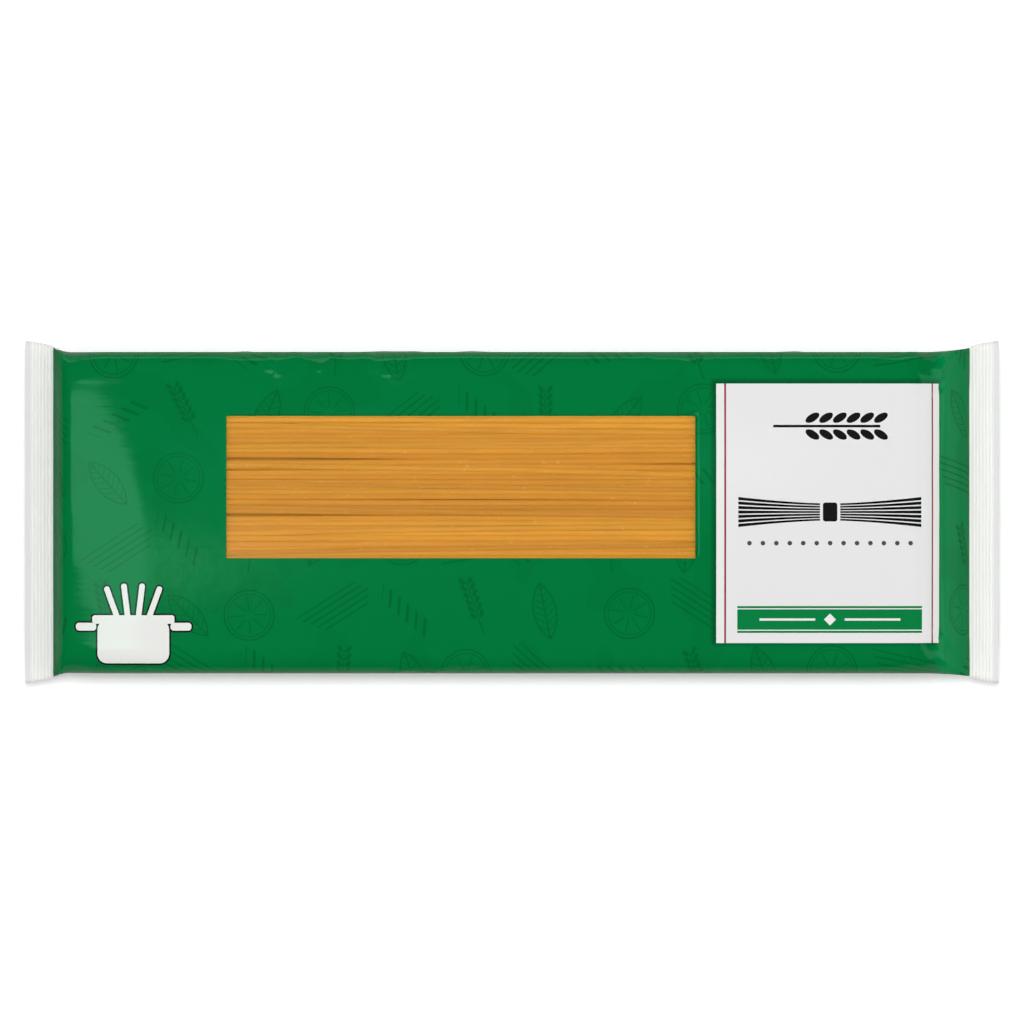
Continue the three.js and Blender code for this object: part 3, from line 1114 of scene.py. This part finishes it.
# %% Camera
CAMERA_HEIGHT = 3.0
VIEW_WIDTH = 0.3146
SENSOR = 36.0
camera = bpy.data.objects.new("camera", bpy.data.cameras.new("camera"))
camera.data.sensor_width = SENSOR
camera.data.lens = SENSOR * (CAMERA_HEIGHT - SEAL_Z * MM) / VIEW_WIDTH
camera.data.clip_start = 0.05
camera.data.clip_end = 100.0
camera.location = (0, 0, CAMERA_HEIGHT)
bpy.context.scene.collection.objects.link(camera)
bpy.context.scene.camera = camera
print("lens in mm:", round(camera.data.lens, 1))

# %% [markdown]
# ## Floor
# A plain white floor. It glows very slightly, so that it stays as white as in the photo while the pack's
# shadow still shows close to the pack.

# %% Floor
FLOOR_SIZE = 20.0
FLOOR_GLOW = 0.23


def floor_paint():
    """Matt white paint, rolled on: even, with only the faintest mottle. Film mirrors it greyer."""
    finish, tree, shader = new_material("matt_white_paint", roughness=0.9)
    place = add(tree, "TexCoord", out="Object")
    mottle = add(tree, "TexNoise", {"Vector": place, "Scale": 30.0, "Detail": 2.0})
    colour = add(tree, "MixRGB", [mottle, linear("#f4f4f4"), linear("#f6f6f6")])
    seen = add(tree, "LightPath", out="Is Camera Ray")
    mirrored = add(tree, "LightPath", out="Is Glossy Ray")
    unseen = add(tree, "MixRGB", [mirrored, linear("#f0f0f0"), linear("#9c9c9c")])
    colour = add(tree, "MixRGB", [seen, unseen, colour])
    tree.links.new(colour, shader.inputs["Base Color"])
    shader.inputs["Specular IOR Level"].default_value = 0.0
    glow = add(tree, "Math", [seen, FLOOR_GLOW], operation="MULTIPLY")
    shader.inputs["Emission Color"].default_value = linear("#ffffff")
    tree.links.new(glow, shader.inputs["Emission Strength"])
    return finish


ground = bmesh.new()
bmesh.ops.create_grid(ground, x_segments=1, y_segments=1, size=FLOOR_SIZE)
floor_mesh = bpy.data.meshes.new("floor")
ground.to_mesh(floor_mesh)
ground.free()
floor_mesh.materials.append(floor_paint())
floor = bpy.data.objects.new("floor", floor_mesh)
bpy.context.scene.collection.objects.link(floor)

# %% [markdown]
# ## Light
# A small key nearly overhead gives the short shadow below the pack, and a wide fill gives the even light.
# Neither shows in the film, so the flat top stays a deep green. Three more lights do show: the pale sheen
# at the left end is the reflection of an oval softbox high up, a low one lights the slope at the right
# end, and a long low one behind the pack runs along its far edge.

# %% Light
STRAIGHT_DOWN = (0.0, 0.0, 1.0)


def softbox(name, centre, size, brightness, shape="RECTANGLE", away=None, turn=0.0, in_gloss=True):
    """A light that faces the pack, or away from a direction. Its power follows from its brightness."""
    data = bpy.data.lights.new(name, "AREA")
    data.shape = shape
    data.size, data.size_y = size
    data.energy = brightness * math.pi * size[0] * size[1]
    light = bpy.data.objects.new(name, data)
    facing = Vector(away or centre).to_track_quat("Z", "Y").to_matrix().to_4x4()
    light.matrix_world = Matrix.Translation(centre) @ Matrix.Rotation(turn, 4, "Z") @ facing
    light.visible_glossy = in_gloss
    light.visible_camera = False
    bpy.context.scene.collection.objects.link(light)


softbox("key", (0.0, 0.2, 2.6), (0.3, 0.3), 111.0, in_gloss=False)
softbox("fill", (0.0, 0.0, 2.2), (5.0, 5.0), 0.78, away=STRAIGHT_DOWN, in_gloss=False)
softbox("left_softbox", (-1.57, -0.03, 4.0), (2.78, 1.4), 1.4, "ELLIPSE", STRAIGHT_DOWN, turn=-0.31)
softbox("right_softbox", (2.2, 0.0, 0.9), (1.0, 1.8), 0.8)
softbox("back_softbox", (0.0, 2.4, 0.32), (2.4, 0.5), 1.1)

world = bpy.data.worlds.new("studio")
world.use_nodes = True
studio = world.node_tree
seen = add(studio, "LightPath", out="Is Camera Ray")
level = add(studio, "MixRGB", [seen, linear("#3c3c3c"), linear("#f2f2f2")])
studio.links.new(level, studio.nodes["Background"].inputs["Color"])
bpy.context.scene.world = world
bpy.context.scene.view_settings.view_transform = "Standard"
